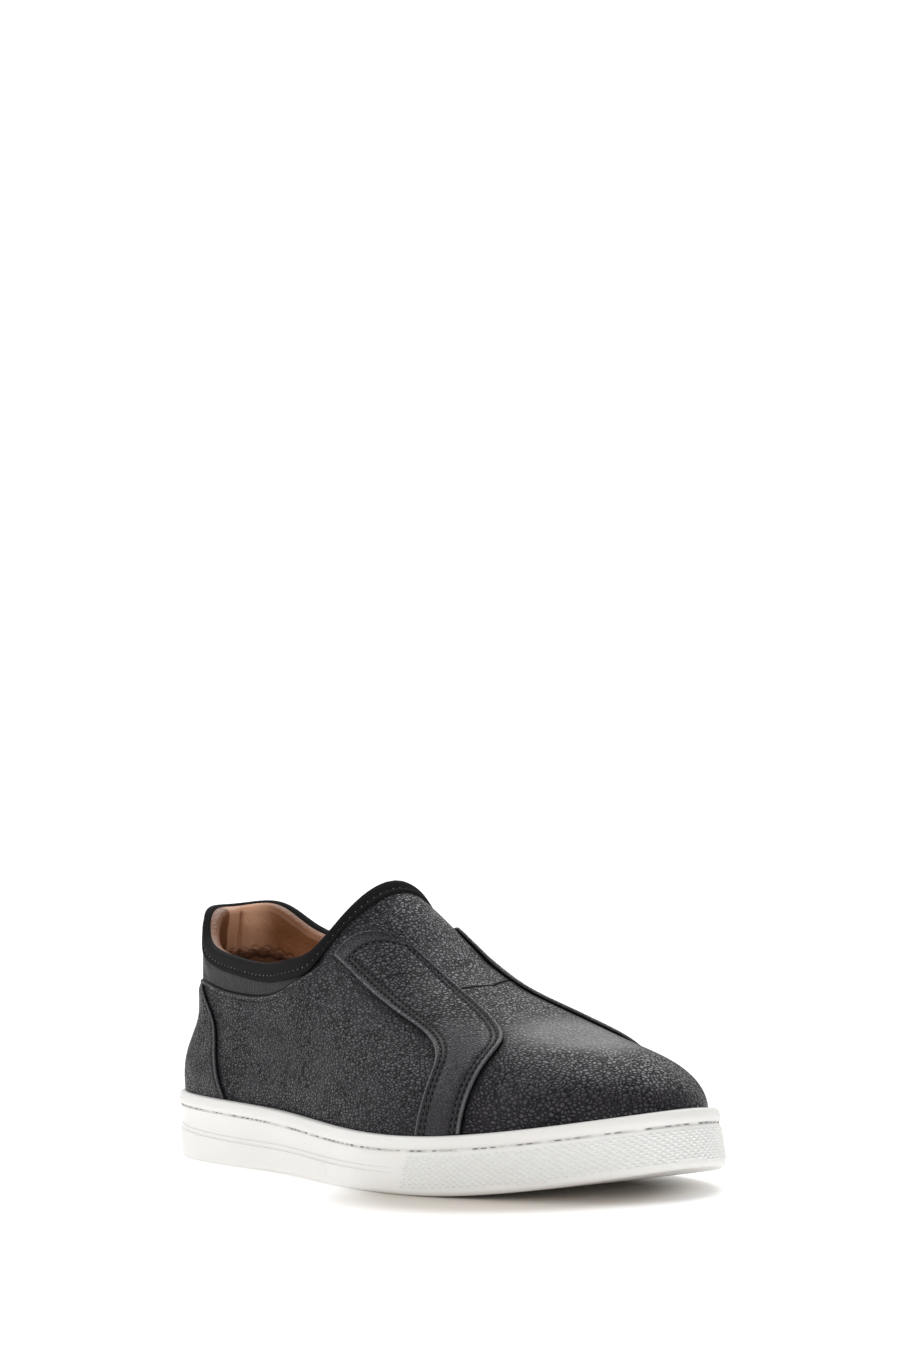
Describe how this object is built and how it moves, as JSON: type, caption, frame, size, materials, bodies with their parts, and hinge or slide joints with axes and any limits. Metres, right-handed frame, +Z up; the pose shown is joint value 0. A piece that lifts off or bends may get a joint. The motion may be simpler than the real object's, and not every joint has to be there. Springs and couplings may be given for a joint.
{
  "type": "slip-on leather sneaker",
  "caption": "Low slip-on leather sneaker for the right foot: hollow lasted upper with side straps and a heel counter on a stitched rubber cup sole.",
  "frame": {"origin": "on the floor under the middle of the box around the whole shoe", "axes": "+X from the heel to the toe, +Y to the inner side of the foot, +Z up"},
  "size_m": [0.298, 0.1083, 0.11],
  "materials": {
    "sole_rubber": "matte warm white",
    "insole_lining": "napped tan",
    "upper_leather": "black, pebbled grain, soft sheen",
    "strap_leather": "black, coarse pebbled grain",
    "collar_textile": "matte black stretch textile",
    "collar_lining": "smooth tan"
  },
  "bodies": {
    "root": {"cupsole": "sole_rubber", "insole": "insole_lining", "upper": "upper_leather", "strap_outer": "strap_leather", "strap_inner": "strap_leather", "heel_counter": "strap_leather", "collar_band": "collar_textile", "collar_padding": "collar_lining"}
  },
  "joints": []
}
